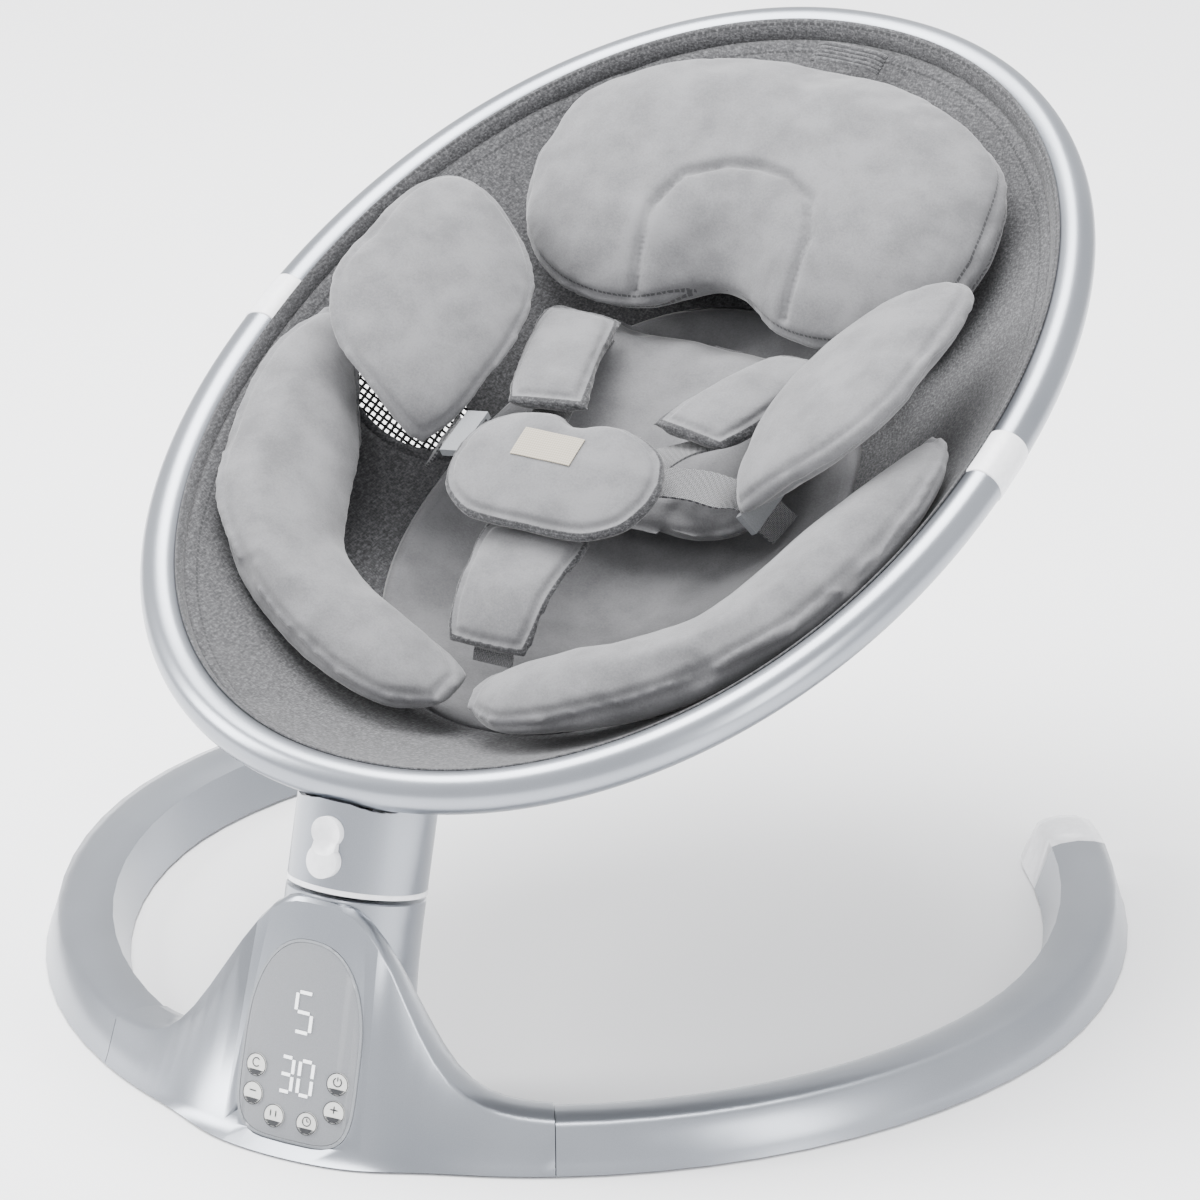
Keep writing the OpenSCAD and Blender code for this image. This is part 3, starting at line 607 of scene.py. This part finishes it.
def ink_stroke(name, x0, h0, x1, h1, width, out=0.55):
    """A short printed bar on the panel from one place to another."""
    d = Vector((x1 - x0, h1 - h0))
    s = Vector((-d.y, d.x)).normalized() * width / 2

    def place(a, b):
        m = 2 * b - 1
        end = 0.5 - abs(a - 0.5)
        k = m * min(1.0, 0.4 + 3.0 * end)
        return panel_point(x0 + d.x * a + s.x * k, h0 + d.y * a + s.y * k, out)
    return shaped_grid(name, 6, 2, place, normals=False)


def ink_ring(name, x, h, r, width, start=0, turn=360, out=0.55):
    def place(a, b):
        f = math.radians(start + turn * a)
        k = r + width * (b - 0.5)
        return panel_point(x + k * math.cos(f), h + k * math.sin(f), out)
    return shaped_grid(name, 28, 1, place, merge=0.00001, normals=False)


KEYS = [(-26, 44), (-26, 28), (-10.5, 18.5), (10.5, 18.5), (26, 28), (26, 44)]
marks = []
for k, (x, h) in enumerate(KEYS):
    marks.append(ink_ring("key_outline", x, h, 6.3, 0.5, out=0.62))
    for row in range(4):
        y = -3.1 - row * 0.75
        half = math.sqrt(max(0.2, 6.0 ** 2 - y * y))
        marks.append(ink_stroke("key_foot", x - half, h + y, x + half, h + y, 0.8, 0.62))
    if k == 0:
        marks.append(ink_ring("key_mark", x, h + 1.4, 2.4, 0.7, 40, 280, 0.62))
    elif k == 1:
        marks.append(ink_stroke("key_mark", x - 2.4, h + 1.5, x + 2.4, h + 1.5, 0.8, 0.62))
    elif k == 2:
        marks.append(ink_stroke("key_mark", x - 2.2, h - 0.6, x - 2.2, h + 3.2, 0.8, 0.62))
        marks.append(ink_stroke("key_mark", x + 1.2, h - 0.6, x + 1.2, h + 3.2, 0.8, 0.62))
    elif k == 3:
        marks.append(ink_ring("key_mark", x, h + 1.2, 2.5, 0.6, out=0.62))
        marks.append(ink_stroke("key_mark", x, h + 1.2, x, h + 3.0, 0.6, 0.62))
        marks.append(ink_stroke("key_mark", x, h + 1.2, x + 1.4, h + 1.2, 0.6, 0.62))
    elif k == 4:
        marks.append(ink_stroke("key_mark", x - 2.4, h + 1.5, x + 2.4, h + 1.5, 0.8, 0.62))
        marks.append(ink_stroke("key_mark", x, h - 0.7, x, h + 3.7, 0.8, 0.62))
    else:
        marks.append(ink_ring("key_mark", x, h + 1.2, 2.4, 0.7, 120, 300, 0.62))
        marks.append(ink_stroke("key_mark", x, h + 1.6, x, h + 4.2, 0.7, 0.62))
finish_piece(join("touch_key_printing", marks), "base", INK, slot="trim")


# ---- fabric bowl ---------------------------------------------------------------
def tuck(t, k):
    """Small gathers where the canvas is pulled over the tube."""
    near = math.exp(-((k - 0.94) / 0.06) ** 2)
    wave = 0.0
    for centre, width, depth in ((-0.72, 0.05, 3.2), (-0.62, 0.04, 2.4), (-1.2, 0.05, 2.0),
                                 (-2.0, 0.05, 1.8), (2.35, 0.05, 2.2), (2.2, 0.04, 1.6),
                                 (0.75, 0.05, 1.8), (-2.6, 0.05, 1.6)):
        wave += depth * math.exp(-((t - centre) / width) ** 2)
    return -wave * near


def sling_place(a, b):
    t = -math.pi + 2 * math.pi * a
    k = b / 0.88
    if k <= 1.0:
        k = k ** 0.8
        u, v, w = bowl_point(k, t)
        soft = 1.4 * noise.noise(Vector((u * 0.012, v * 0.012, 3.1))) * min(1, (1 - k) * 6)
        return seat_point(u, v, w + soft + tuck(t, k))
    share = (b - 0.88) / 0.12
    cover = math.radians(58 + 14 * math.sin(t))
    f = math.pi - cover * share + math.radians(8)
    u, v = rim_point(t)
    n = rim_outward(t)
    r = TUBE_R + 0.9
    return seat_point(u + n.x * r * math.cos(f), v + n.y * r * math.cos(f), r * math.sin(f))


sling = shaped_grid("sling_canvas", 240, 90, sling_place, merge=0.00002)
WINDOWS = [(158, 12, 33), (-158, 12, 33)]


def in_window(centre):
    u, v, w = seat_place_of(centre)
    return any(math.hypot(u - x, v - y) < r for x, y, r in WINDOWS)


delete_faces(sling, in_window)
modify(sling, "SOLIDIFY", thickness=0.0012, offset=0)
smooth_all(sling)


def edge_distance(obj, lines):
    """Stores how far each point is from a piece's rim lines, and how far along them."""
    samples = []
    for line in lines:
        run = 0.0
        for a, b in zip(line, line[1:]):
            length = (b - a).length
            steps = max(1, int(length / 0.0015))
            for k in range(steps):
                samples.append((a.lerp(b, k / steps), run + length * k / steps))
            run += length
    tree = kdtree.KDTree(len(samples))
    for k, (p, r) in enumerate(samples):
        tree.insert(p, k)
    tree.balance()
    rim = obj.data.attributes.new("rim_mm", "FLOAT", "POINT")
    run = obj.data.attributes.new("run_mm", "FLOAT", "POINT")
    for v in obj.data.vertices:
        co, k, dist = tree.find(v.co)
        rim.data[v.index].value = dist * 1000
        run.data[v.index].value = samples[k][1] * 1000
    return obj


rim_line = [seat_point(*rim_point(math.radians(d), TUBE_R), 2) for d in range(-180, 181)]
edge_distance(sling, [rim_line])
finish_piece(sling, "seat", HEMMED, "sling_fabric", slot="melange_fabric")


def bowl_height_at(u, v):
    """Height of the bowl over a place, from the rim angle that looks at it."""
    ray = Vector((u, v - LOW_V))
    t = math.atan2((v - LOW_V) / HALF_L, u / HALF_W)
    for turn in range(12):
        ru, rv = rim_point(t, TUBE_R + 0.9)
        t += math.atan2(ray.y, ray.x) - math.atan2(rv - LOW_V, ru)
    ru, rv = rim_point(t, TUBE_R + 0.9)
    k = ray.length / math.hypot(ru, rv - LOW_V)
    return bowl_height(min(k, 1), t)


def net_patch(name, x, y, r):
    """Open net over a side window: a grid of strands with oval holes."""
    def place(a, b):
        p, q = (a * 2 - 1) * (r + 2), (b * 2 - 1) * (r + 2)
        length = math.hypot(p, q)
        if length > r + 2:
            p, q = p * (r + 2) / length, q * (r + 2) / length
        u, v = x + p, y + q
        return seat_point(u, v, bowl_height_at(u, v) + 0.2)
    net = shaped_grid(name, 22, 17, place, merge=0.0003)
    modify(net, "WIREFRAME", thickness=0.0025, use_replace=True, use_even_offset=False)
    return net


for side, (x, y, r) in zip(("right", "left"), WINDOWS):
    net = net_patch("side_net_" + side, x, y, r)
    finish_piece(net, "seat", NET, "mesh_window_" + side, slot="mesh_fabric")
    loop = []
    for d in range(0, 361, 6):
        f = math.radians(d)
        u, v = x + (r + 1.5) * math.cos(f), y + (r + 1.5) * math.sin(f)
        loop.append((u, v, bowl_height_at(u, v)))

    def hoop(a, b, loop=loop):
        p = a * (len(loop) - 1)
        i = min(int(p), len(loop) - 2)
        g = p - i
        u, v, w = (loop[i][j] * (1 - g) + loop[i + 1][j] * g for j in range(3))
        f = 2 * math.pi * b
        du, dv = u - x, v - y
        length = math.hypot(du, dv)
        s = math.cos(f) * 3.6
        return seat_point(u + du / length * s, v + dv / length * s, w + 0.4 + math.sin(f) * 1.3 - s * 0.45)
    band = smooth_all(shaped_grid("net_binding_" + side, 72, 10, hoop))
    finish_piece(band, "seat", MELANGE, slot="melange_fabric")

tab = shaped_grid("head_ribbed_tab", 44, 30, lambda a, b: seat_point(
    (a - 0.5) * 44 - 3, 289 + (b - 0.5) * 14, 15 + 2.2 * (b - 0.5) + 0.9 * math.sin(b * 2 * math.pi * 5)
    - 3.0 * (abs(a - 0.5) * 2) ** 6), normals=False)
modify(tab, "SOLIDIFY", thickness=0.0016, offset=0)
finish_piece(smooth(tab, 60), "seat", MELANGE, "head_tab", slot="melange_fabric")


# ---- cushions ---------------------------------------------------------------------
EDGE_ROUNDNESS = 2.4
FILLING_FRAMES = 18
STITCH_DEPTH = 1.8


def flip(rows):
    return [((-b[0], b[1], b[2]), (-a[0], a[1], a[2]), h) for a, b, h in rows]


def both(half):
    left = [((-a[0], a[1], a[2]), (-b[0], b[1], b[2]), h) for a, b, h in half]
    return left + half[-2::-1]


def smooth_row(rows, p):
    """Catmull-Rom blend of the rows at place p along them."""
    n = len(rows)
    i = min(int(p), n - 2)
    g = p - i

    def at(j):
        j = max(0, min(n - 1, j))
        a, b, h = rows[j]
        return list(a) + list(b) + [h]
    q = [at(i + j) for j in (-1, 0, 1, 2)]
    out = []
    for k in range(7):
        a, b, c, d = (x[k] for x in q)
        out.append(0.5 * (2 * b + (c - a) * g + (2 * a - 5 * b + 4 * c - d) * g * g
                          + (3 * b - a - 3 * c + d) * g ** 3))
    return Vector(out[:3]), Vector(out[3:6]), max(0.5, out[6])


def cushion_form(name, rows, along=40):
    """A crowned closed form through rows of inner point, outer point, thickness."""
    last = len(rows) - 1

    def place(a, b):
        p = a * last
        inner, outer, thick = smooth_row(rows, p)
        i0, o0, _ = smooth_row(rows, max(0, p - 0.15))
        i1, o1, _ = smooth_row(rows, min(last, p + 0.15))
        d = (i1 + o1 - i0 - o0).normalized()
        e = (outer - inner) / 2
        n = d.cross(e).normalized()
        f = 2 * math.pi * b
        q = (inner + outer) / 2 + power(math.cos(f), EDGE_ROUNDNESS) * e \
            + math.sin(f) * thick / 2 * n
        return seat_point(*q)
    return shaped_grid(name, along, 32, place, fill=True, merge=0.0002)


def rim_lines(rows):
    """The sewn edge of a cushion: its outer edge, far end, inner edge and near end."""
    last = len(rows) - 1
    pts = [smooth_row(rows, last * k / 60) for k in range(61)]
    loop = [seat_point(*p[0]) for p in pts] + [seat_point(*p[1]) for p in reversed(pts)]
    return [loop + [loop[0]]]


def puff(obj, voxel=4.5, pressure=4.0, cap=7.0):
    """Voxel remesh, then a short inflation whose reach is capped, then one subdivision."""
    modify(obj, "REMESH", mode="VOXEL", voxel_size=voxel / 1000, use_smooth_shade=True)
    before = [v.co.copy() for v in obj.data.vertices]
    pick(obj)
    cloth = obj.modifiers.new("Filling", "CLOTH")
    cloth.settings.use_pressure = True
    cloth.settings.uniform_pressure_force = pressure
    cloth.settings.quality = 4
    cloth.settings.tension_stiffness = 18
    cloth.settings.compression_stiffness = 18
    cloth.settings.shear_stiffness = 6
    cloth.settings.bending_stiffness = 0.6
    cloth.settings.effector_weights.gravity = 0
    for f in range(1, FILLING_FRAMES + 1):
        bpy.context.scene.frame_set(f)
    bpy.ops.object.modifier_apply(modifier=cloth.name)
    bpy.context.scene.frame_set(1)
    for v, old in zip(obj.data.vertices, before):
        move = v.co - old
        if move.length > cap / 1000:
            v.co = old + move.normalized() * cap / 1000
    modify(obj, "SMOOTH", factor=0.4, iterations=2)
    modify(obj, "SUBSURF", levels=1, render_levels=1)
    return obj


def sewn(obj, lines, inset, depth, width=2.2):
    """Pulls a groove into the cloth along the line of stitches inset from the rim."""
    tree = kdtree.KDTree(sum(len(x) for x in lines) * 8)
    k = 0
    for line in lines:
        for a, b in zip(line, line[1:]):
            for j in range(8):
                tree.insert(a.lerp(b, j / 8), k)
                k += 1
    tree.balance()
    outward = [v.normal.copy() for v in obj.data.vertices]
    for v, n in zip(obj.data.vertices, outward):
        co, i, dist = tree.find(v.co)
        d = dist * 1000 - inset
        v.co += n * (0.00035 * noise.noise(v.co * 60) - depth / 1000 * math.exp(-(d / width) ** 2))
    return obj


def made_cushion(name, rows, material, nodes, inset=8.0, voxel=4.5, cap=7.0,
                 pressure=6.0, fill=0.7, slot="velvet_fabric", seams=(), **form):
    obj = cushion_form(name, rows, **form)
    rim = rim_lines(rows)
    puff(obj, voxel, pressure, cap)
    sewn(obj, rim, inset, STITCH_DEPTH)
    for seam in seams:
        places = [seat_point(*p) for p in seam]
        sewn(obj, [[obj.closest_point_on_mesh(p)[1] for p in places]], 0.0, 4.6, 3.0)
    edge_distance(obj, rim)
    smooth_all(obj)
    finish_piece(obj, "seat", material, *nodes, slot=slot)
    return obj


UPPER_PETAL = [
    ((102, -56, -13), (109, -59, -8), 5), ((92, -34, -11), (129, -52, 9), 20),
    ((86, 0, -7), (164, -34, 32), 26), ((85, 30, -5), (185, 3, 43), 28),
    ((91, 62, -4), (186, 45, 42), 28), ((106, 88, 3), (184, 85, 37), 26),
    ((131, 108, 15), (175, 110, 30), 20), ((152, 116, 22), (161, 118, 26), 6)]
LOWER_PETAL = [
    ((190, 26, 4), (208, 12, 13), 8), ((178, 4, -9), (215, -24, 16), 20),
    ((159, -28, -24), (214, -60, 15), 25), ((140, -60, -32), (207, -96, 12), 27),
    ((125, -98, -36), (193, -138, 7), 28), ((110, -128, -39), (162, -177, -1), 28),
    ((83, -149, -41), (122, -208, -11), 28), ((54, -166, -42), (79, -229, -19), 27),
    ((27, -180, -43), (36, -237, -28), 24), ((4, -194, -42), (5, -222, -38), 10)]
PILLOW_HALF = [
    ((151, 158, 0), (151, 178, 8), 14), ((141, 126, -12), (141, 220, 14), 32),
    ((116, 101, -20), (114, 246, 18), 42), ((84, 89, -24), (84, 262, 20), 45),
    ((45, 90, -24), (45, 272, 21), 46), ((0, 109, -22), (0, 276, 21), 45)]
PILLOW_SEAM = [
    (-47, 92, -12), (-50, 115, 4), (-51, 138, 16), (-41, 160, 24), (-19, 172, 28), (0, 175, 29),
    (19, 172, 28), (41, 160, 24), (51, 138, 16), (50, 115, 4), (47, 92, -12)]
BACK_PAD_HALF = [
    ((94, 20, -52), (94, 50, -50), 6), ((84, -20, -60), (84, 105, -48), 14),
    ((50, -34, -70), (50, 116, -52), 18), ((0, -36, -74), (0, 118, -54), 18)]
SHOULDER_PAD = [
    ((50, 84, -27), (97, 78, -20), 6), ((44, 66, -22), (94, 60, -17), 15),
    ((36, 40, -16), (88, 34, -14), 17), ((27, 14, -10), (80, 6, -11), 16),
    ((20, -8, -7), (70, -16, -8), 8)]
CROTCH_PAD = [
    ((-34, -100, -11.5), (34, -100, -11.5), 7), ((-35, -114, -12), (35, -114, -12), 11),
    ((-33, -130, -14), (33, -130, -14), 12), ((-31, -148, -18), (31, -148, -18), 12),
    ((-29, -166, -28), (29, -166, -28), 12), ((-26, -176, -36), (26, -176, -36), 8)]
COVER_HALF = [
    ((66, -84, 7), (66, -68, 9), 6), ((58, -104, 5), (58, -50, 12), 15),
    ((40, -117, 4), (40, -38, 14), 19), ((20, -120, 4), (20, -34, 15), 20),
    ((0, -120, 4), (0, -40, 15), 20)]

made_cushion("upper_petal_cushion_right", UPPER_PETAL, VELVET, ["upper_petal_right"])
made_cushion("upper_petal_cushion_left", flip(UPPER_PETAL), VELVET, ["upper_petal_left"])
made_cushion("lower_petal_cushion_right", LOWER_PETAL, VELVET, ["lower_petal_right"], along=60)
made_cushion("lower_petal_cushion_left", flip(LOWER_PETAL), VELVET, ["lower_petal_left"], along=60)
made_cushion("head_pillow_cushion", both(PILLOW_HALF), PILLOW, ["head_pillow"], along=60,
             voxel=5.0, cap=9.0, seams=[PILLOW_SEAM])
made_cushion("back_pad_cushion", both(BACK_PAD_HALF), VELVET, ["back_pad"], inset=10)
made_cushion("shoulder_pad_cushion_right", SHOULDER_PAD, BOUND, ["shoulder_pad_right"],
             voxel=3.0, cap=3.0)
made_cushion("shoulder_pad_cushion_left", flip(SHOULDER_PAD), BOUND, ["shoulder_pad_left"],
             voxel=3.0, cap=3.0)
made_cushion("crotch_pad_cushion", CROTCH_PAD, BOUND, ["crotch_pad"], voxel=3.0, cap=3.0)
cover = made_cushion("buckle_cover_cushion", both(COVER_HALF), BOUND, ["buckle_cover"], voxel=3.0,
             cap=4.0)


def seat_liner_place(a, b):
    t = -math.pi + 2 * math.pi * a
    top = b < 0.5
    k = (b * 2 if top else (1 - b) * 2)
    share = 0.56 * k ** 0.8
    lift = 6 + 10 * (1 - (share / 0.56) ** 2) if top else 0.8
    if top:
        edge = min(1.0, (1 - k) * 10)
        lift = 0.8 + (lift - 0.8) * math.sqrt(max(0.0, edge * (2 - edge)))
        u, v, w = bowl_point(share, t)
        lift += 0.6 * math.cos(u / 9.0) * math.cos(v / 9.0) * edge
        lift += 3.4 * math.cos(9 * t) * k * k * edge
    u, v, w = bowl_point(share, t, lift)
    return seat_point(u, v, w)


liner = smooth_all(shaped_grid("seat_liner_cushion", 120, 64, seat_liner_place))
edge_distance(liner, [[seat_point(*bowl_point(0.56, math.radians(d), 1)) for d in range(-180, 181)]])
finish_piece(liner, "seat", VELVET, "seat_pad", slot="velvet_fabric")


# ---- harness -----------------------------------------------------------------------
def strap(name, path, across, thick=1.4, width=25.0, steps=48):
    """Flat webbing through points of the seat frame, its width along a direction."""
    rows = [(Vector(p), Vector(p), 1.0) for p in path]
    points = [smooth_row(rows, k / steps * (len(rows) - 1))[0] for k in range(steps + 1)]
    d = Vector(across).normalized()
    runs = [0.0]
    for a, b in zip(points, points[1:]):
        runs.append(runs[-1] + (b - a).length)

    def place(a, b):
        p = points[min(int(round(a * steps)), steps)] + d * (b - 0.5) * width
        return seat_point(*p)
    obj = shaped_grid(name, steps, 8, place, normals=False)
    layer = obj.data.uv_layers[0]
    layer.name = "UVMap"
    for loop in obj.data.loops:
        u, v = layer.data[loop.index].uv
        layer.data[loop.index].uv = (u * runs[-1] / 1000, v * width / 1000)
    modify(obj, "SOLIDIFY", thickness=thick / 1000, offset=0)
    smooth(obj, 40)
    return obj


def mirror_path(path):
    return [(-p[0], p[1], p[2]) for p in path]


SHOULDER_PATH = [(70, 84, -40), (67, 62, -36), (62, 34, -30), (52, 6, -24), (41, -22, -11.5),
                 (36, -40, -7.4)]
WAIST_PATH = [(36, -56, -5), (52, -50, -6), (72, -46, -7), (88, -44.5, -10), (97, -35, -18),
              (106, -34, -31), (114, -33, -41)]
CROTCH_PATH = [(0, -91, -15.5), (0, -97, -19.5), (0, -112, -20.5), (0, -128, -22),
               (0, -148, -26.5), (0, -166, -38.5), (0, -174, -48)]
for side, m in (("right", 1), ("left", -1)):
    path = SHOULDER_PATH if m > 0 else mirror_path(SHOULDER_PATH)
    finish_piece(strap("shoulder_webbing_" + side, path, (0.98 * m, 0.2, 0)), "seat", WEBBING,
                 "shoulder_strap_" + side, slot="webbing")
    path = WAIST_PATH if m > 0 else mirror_path(WAIST_PATH)
    finish_piece(strap("waist_webbing_" + side, path, (0.1 * m, 0.995, 0)), "seat", WEBBING,
                 "waist_strap_" + side, slot="webbing")
finish_piece(strap("crotch_webbing", CROTCH_PATH, (1, 0, 0)), "seat", WEBBING, "crotch_strap",
             slot="webbing")

bpy.context.view_layer.update()


def label_place(a, b):
    """Straight down from above onto the puffed cover, 0.6 mm clear of it."""
    u, v = (a - 0.5) * 38 - 5, -81 + b * 20
    inverse = cover.matrix_world.inverted()
    start = inverse @ seat_point(u, v, 70)
    place, normal = cover.ray_cast(start, inverse @ seat_point(u, v, 0) - start)[1:3]
    return cover.matrix_world @ (place + normal * 0.0006)


label = shaped_grid("cover_woven_label", 20, 12, label_place, normals=False)
modify(label, "SOLIDIFY", thickness=0.0007, offset=0)
finish_piece(label, "seat", LABEL, "cover_label", slot="label_fabric")


# ---- floor, light and camera ----------------------------------------------------------
deselect()
bpy.ops.mesh.primitive_grid_add(x_subdivisions=4, y_subdivisions=4, size=14)
floor = bpy.context.object
floor.name = "studio_floor"
floor.data.materials.append(studio_paper())

world = bpy.data.worlds.new("studio_air")
bpy.context.scene.world = world
world.use_nodes = True
world.node_tree.nodes["Background"].inputs["Color"].default_value = hexcol("F7F8FA")
world.node_tree.nodes["Background"].inputs["Strength"].default_value = 1.5


def softbox(name, place, aim, size, power_w):
    light = bpy.data.lights.new(name, "AREA")
    light.shape = "RECTANGLE"
    light.size, light.size_y = size
    light.energy = power_w
    obj = bpy.data.objects.new(name, light)
    bpy.context.scene.collection.objects.link(obj)
    obj.location = place
    obj.rotation_euler = (Vector(aim) - Vector(place)).to_track_quat("-Z", "Y").to_euler()
    return obj


softbox("overhead_softbox", (-0.5, 0.3, 2.4), (0, 0, 0.2), (2.0, 1.6), 165)
softbox("left_softbox", (-2.2, -1.2, 1.5), (0, -0.1, 0.2), (1.0, 1.4), 95)
softbox("right_softbox", (2.4, -0.6, 1.2), (0, 0, 0.2), (0.7, 1.6), 36)

camera = bpy.data.cameras.new("front_camera")
camera.lens = 405.0
camera.sensor_width = 36.0
camera.clip_end = 50
view = bpy.data.objects.new("front_camera", camera)
bpy.context.scene.collection.objects.link(view)
view.location = (3.5065, -6.0414, 3.1992)
view.rotation_euler = (math.radians(66.80), 0, math.radians(30.10))
bpy.context.scene.camera = view
